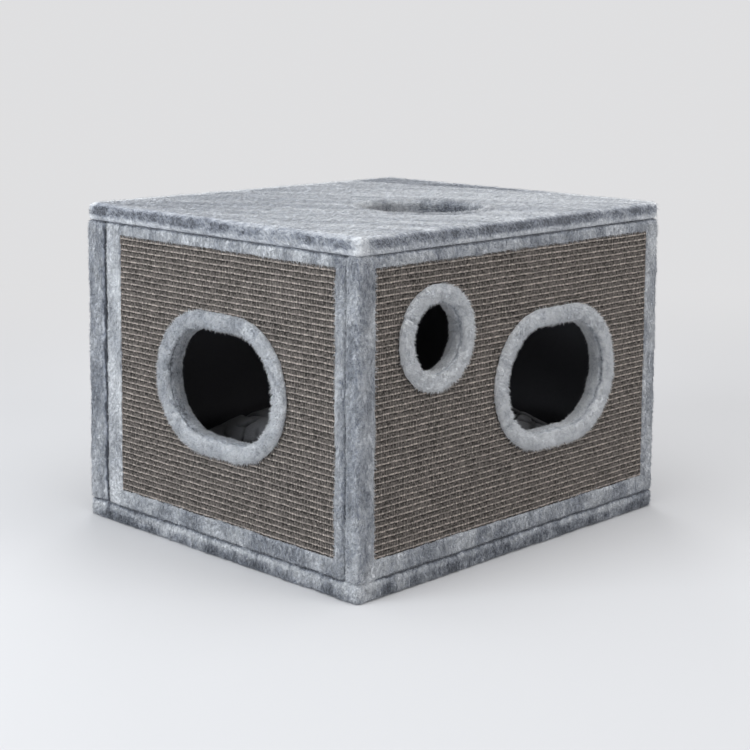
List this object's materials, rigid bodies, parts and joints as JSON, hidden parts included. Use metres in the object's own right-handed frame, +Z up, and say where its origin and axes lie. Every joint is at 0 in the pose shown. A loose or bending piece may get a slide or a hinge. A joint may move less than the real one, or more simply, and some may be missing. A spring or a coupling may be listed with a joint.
{
  "type": "cat condo",
  "caption": "Box-shaped cat house wrapped in grey plush, with sisal scratching sides, padded oval and round entrances, a hatch in the top and a loose floor cushion.",
  "frame": {"origin": "on the floor, under the middle of the box without its collars", "axes": "+X to the right across the front, +Y from front to back, +Z up; the front with two entrances faces -Y and the side entrance faces -X"},
  "size_m": [0.608, 0.538, 0.44],
  "materials": {
    "plush": "matte",
    "collar_plush": "matte",
    "sisal": "matte",
    "chipboard": "matte",
    "lining_felt": "matte",
    "dust_cloth": "matte",
    "batten_wood": "matte",
    "dowel_wood": "matte",
    "screw_steel": "satin",
    "cushion_cloth": "matte"
  },
  "bodies": {
    "house": {"base_board": "chipboard", "top_board": "chipboard", "front_board": "chipboard", "back_board": "chipboard", "left_board": "chipboard", "right_board": "chipboard", "base_plush": "plush", "top_plush": "plush", "front_plush": "plush", "back_plush": "plush", "left_plush": "plush", "right_plush": "plush", "front_oval_sleeve": "plush", "lookout_sleeve": "plush", "left_oval_sleeve": "plush", "hatch_sleeve": "plush", "front_sisal": "sisal", "back_sisal": "sisal", "left_sisal": "sisal", "right_sisal": "sisal", "front_oval_collar": "collar_plush", "lookout_collar": "collar_plush", "left_oval_collar": "collar_plush", "floor_lining": "lining_felt", "ceiling_lining": "lining_felt", "front_lining": "lining_felt", "back_lining": "lining_felt", "left_lining": "lining_felt", "right_lining": "lining_felt", "base_dust_cloth": "dust_cloth", "front_left_batten": "batten_wood", "front_right_batten": "batten_wood", "back_left_batten": "batten_wood", "back_right_batten": "batten_wood", "base_dowels": "dowel_wood", "top_dowels": "dowel_wood", "base_screws": "screw_steel", "top_screws": "screw_steel", "end_wall_screws": "screw_steel", "side_wall_screws": "screw_steel"},
    "cushion": {"cushion": "cushion_cloth"}
  },
  "joints": [
    {"name": "cushion_lift", "type": "slide", "parent": "house", "child": "cushion", "axis": [0, 0, 1], "range_m": [0, 0.2]}
  ]
}
